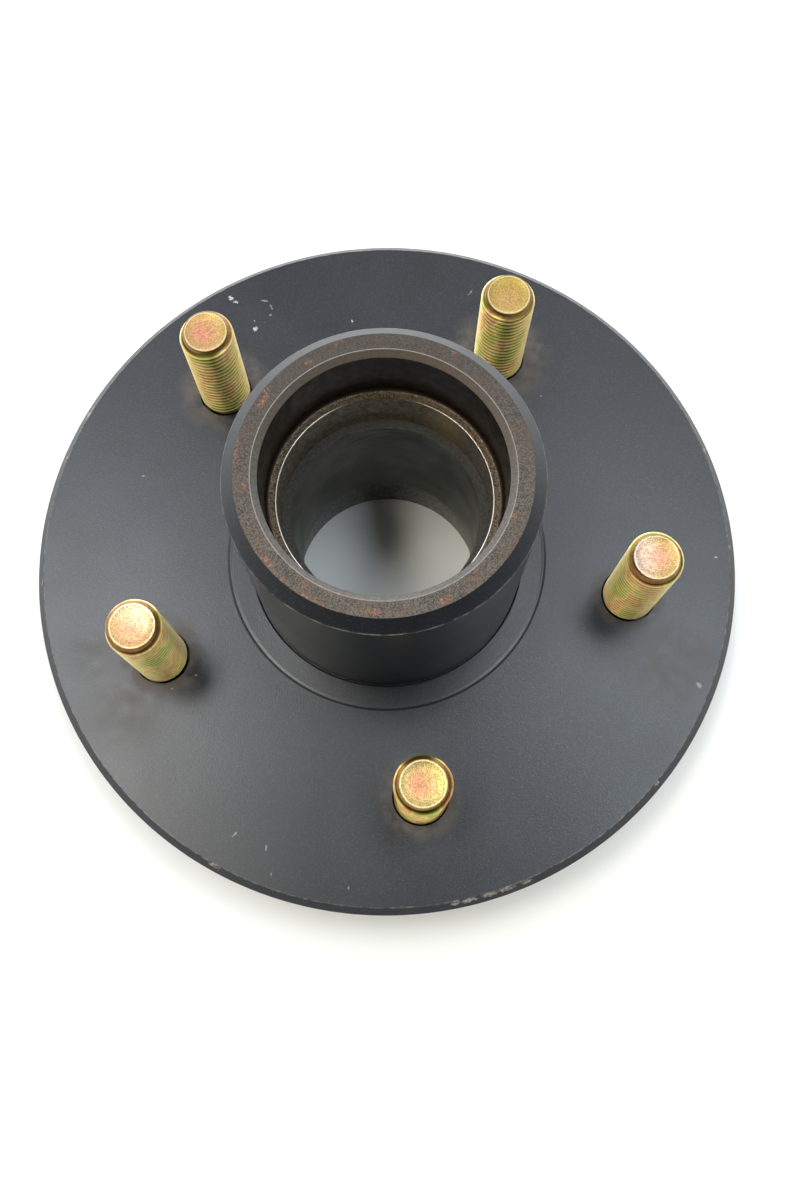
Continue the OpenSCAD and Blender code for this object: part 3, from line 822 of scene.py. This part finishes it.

# %% [markdown]
# ### Yellow chromate
# The film on the zinc is thin enough to show interference colours, from gold over orange and pink to green,
# in patches a few millimetres wide. Dirt and painted shade make the thread's roots brown, and the crests are
# pale from wear and a painted highlight. Painted shade dulls the lead-in cone and darkens the stud where it
# leaves the flange.
# The film also scatters light, so it is less metallic than bare zinc on the thread, more so on the worn end.
# Each stud has its own patches, and its end face its own tints.

# %% Yellow chromate, one finish for each stud
FILM = [(0.2, "b4c444"), (0.32, "dcce54"), (0.42, "f4d266"), (0.54, "ffe592"), (0.64, "f8c66c"),
        (0.74, "f09a70"), (0.82, "f2c45c")]
# For each stud: centre of the face, its outer ring, a tinted side and the direction of that side in degrees.
# On stud 5 the pale side is a painted highlight.
FACE_TINTS = {
    1: ("c8866f", "c4b274", "ccbe74", 0), 2: ("cf947c", "bca368", "e6cec2", 170),
    3: ("b08c5c", "a8924e", "9c8840", 80), 4: ("c4806f", "aa8c58", "b09b60", 20),
    5: ("d6967c", "c8a472", "f4eac0", 60)}


def chromate(number, centre):
    """The film of one stud, whose axis stands at `centre` in mm."""
    film, tree, shader = new_finish(f"yellow chromate on zinc, stud {number}")
    radius, angle, height = turned_place(tree, centre)
    patches = grain(tree, 4.5, 0.28, 0.72, 2.0, stretch=(1, 1, 0.55), shift=0.1 * number)
    colour = add(tree, "ShaderNodeValToRGB", {"Fac": patches}, stops=FILM)

    # Pale crests from wear and a painted highlight, and roots browned by dirt and painted shade
    root = add(tree, "ShaderNodeMapRange", {
        "Value": radius, "From Min": (thread_r - 0.5) * MM, "From Max": (thread_r - 0.24) * MM,
        "To Min": 0.95, "To Max": 0})
    below_end = add(tree, "ShaderNodeMapRange", {
        "Value": height, "From Min": (thread_end - lead_in) * MM, "From Max": thread_end * MM,
        "To Min": 1, "To Max": 0.35})
    root = add(tree, "ShaderNodeMath", {0: root, 1: below_end}, operation="MULTIPLY")
    # Painted shade dulls the lead-in cone and the side of the point
    lead_in_shade = add(tree, "ShaderNodeMapRange", {
        "Value": height, "From Min": (thread_end - lead_in) * MM,
        "From Max": (thread_end - 0.4 * lead_in) * MM, "To Max": 0.7})
    colour = add(tree, "ShaderNodeMix", {"Factor": lead_in_shade, "A": colour, "B": "8e7448"}, data_type="RGBA")
    colour = add(tree, "ShaderNodeMix", {"Factor": root, "A": colour, "B": "4c2410"}, data_type="RGBA")
    # Pale crests: wear and a painted highlight; stud 1 gets little of it, as painted shade and dirt on the
    # near stud
    crest_wear_and_highlight = add(tree, "ShaderNodeMapRange", {
        "Value": radius, "From Min": (thread_r - 0.22) * MM, "From Max": (thread_r - 0.08) * MM,
        "To Max": 0.2 if number == 1 else 0.85})
    colour = add(tree, "ShaderNodeMix", {"Factor": crest_wear_and_highlight, "A": colour, "B": "fff0b4"}, data_type="RGBA")
    # Painted shade where the stud leaves the flange, and on the thread inside the hole
    base_shade = add(tree, "ShaderNodeMapRange", {
        "Value": height, "From Min": (wheel_face - 0.3) * MM, "From Max": (wheel_face + 0.6) * MM,
        "To Min": 1, "To Max": 0})
    colour = add(tree, "ShaderNodeMix", {"Factor": base_shade, "A": colour, "B": "120e09"}, data_type="RGBA")

    # The end face: centre, ring and tinted side (a painted highlight on stud 5), in a fine grain
    middle, ring, side, degrees = FACE_TINTS[number]
    outward = add(tree, "ShaderNodeMapRange", {"Value": radius, "From Min": 1.2 * MM, "From Max": 4.2 * MM})
    face = add(tree, "ShaderNodeMix", {"Factor": outward, "A": middle, "B": ring}, data_type="RGBA")
    lean = add(tree, "ShaderNodeMath", {0: lean_to(tree, angle, degrees), 1: radius}, operation="MULTIPLY")
    lean = add(tree, "ShaderNodeMapRange", {
        "Value": lean, "From Min": -1.0 * MM, "From Max": 4.5 * MM, "To Max": 0.9})
    face = add(tree, "ShaderNodeMix", {"Factor": lean, "A": face, "B": side}, data_type="RGBA")
    speckle = grain(tree, 0.3, 0.38, 0.62, 2.0)
    half = add(tree, "ShaderNodeMath", {0: speckle, 1: 0.7}, operation="MULTIPLY")
    face = add(tree, "ShaderNodeMix", {"Factor": half, "A": face, "B": "7d6238"}, data_type="RGBA")
    rim = near(tree, radius, point_r - rim_width, 0.12)
    rim = add(tree, "ShaderNodeMath", {0: rim, 1: 0.55}, operation="MULTIPLY")
    face = add(tree, "ShaderNodeMix", {"Factor": rim, "A": face, "B": "ece2cc"}, data_type="RGBA")
    brim = near(tree, radius, point_r, 0.22)
    face = add(tree, "ShaderNodeMix", {"Factor": brim, "A": face, "B": "75593c"}, data_type="RGBA")
    cup_floor = stud_high.z - cup_depth
    on_end = add(tree, "ShaderNodeMapRange", {
        "Value": height, "From Min": (cup_floor - 0.1) * MM, "From Max": (cup_floor - 0.05) * MM})
    colour = add(tree, "ShaderNodeMix", {"Factor": on_end, "A": colour, "B": face}, data_type="RGBA")
    rough = add(tree, "ShaderNodeMix", {"Factor": on_end, "A": 0.3, "B": 0.46}, data_type="FLOAT")
    grit = add(tree, "ShaderNodeMath", {0: speckle, 1: on_end}, operation="MULTIPLY")
    bump = add(tree, "ShaderNodeBump", {"Height": grit, "Strength": 0.3, "Distance": 0.015 * MM})
    # The film scatters light on the thread, less so on the worn end and on the near stud, which is kept
    # darker as painted shade and dirt
    scatter = 0.9 if number == 1 else 0.55
    metal = add(tree, "ShaderNodeMix", {"Factor": on_end, "A": scatter, "B": 0.9}, data_type="FLOAT")
    dress(tree, shader, {"Base Color": colour, "Roughness": rough, "Metallic": metal, "Normal": bump})
    return film


# %% Roll the five studs
for number in range(1, 6):
    angle = math.radians(-90 + 72 * (number - 1))
    place = Vector((math.cos(angle), math.sin(angle), 0)) * stud_circle * MM
    stud = bpy.data.objects.new(f"wheel_stud_{number}", shank_line.data.copy())
    bpy.context.collection.objects.link(stud)
    rolling = stud.modifiers.new("rolling", "NODES")
    rolling.node_group = stud_tree
    set_inputs(rolling, {
        "Point Outline": point_line, "Knurl Radius": hole_r * MM, "Knurl Ribs": knurl_ribs,
        "Knurl Depth": knurl_depth * MM, "Spin": 1.9 * number, "Place": place,
        "Finish": chromate(number, place.xy / MM), "Rows": thread_rows, "Rows per Pitch": ROWS_PER_PITCH,
        "Steps": ROUND, "Pitch": PITCH * MM, "Major Radius": thread_r * MM, "Depth": thread_depth * MM,
        "Start": thread_start * MM, "End": thread_end * MM, "Neck Radius": neck_r * MM, "Run In": run_in * MM,
        "Point Radius": point_r * MM, "Lead In": lead_in * MM})
    finish_mesh(stud)
    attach(stud, "root")
    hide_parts(f"stud_{number}")
for line in (shank_line, point_line):
    bpy.data.objects.remove(line)
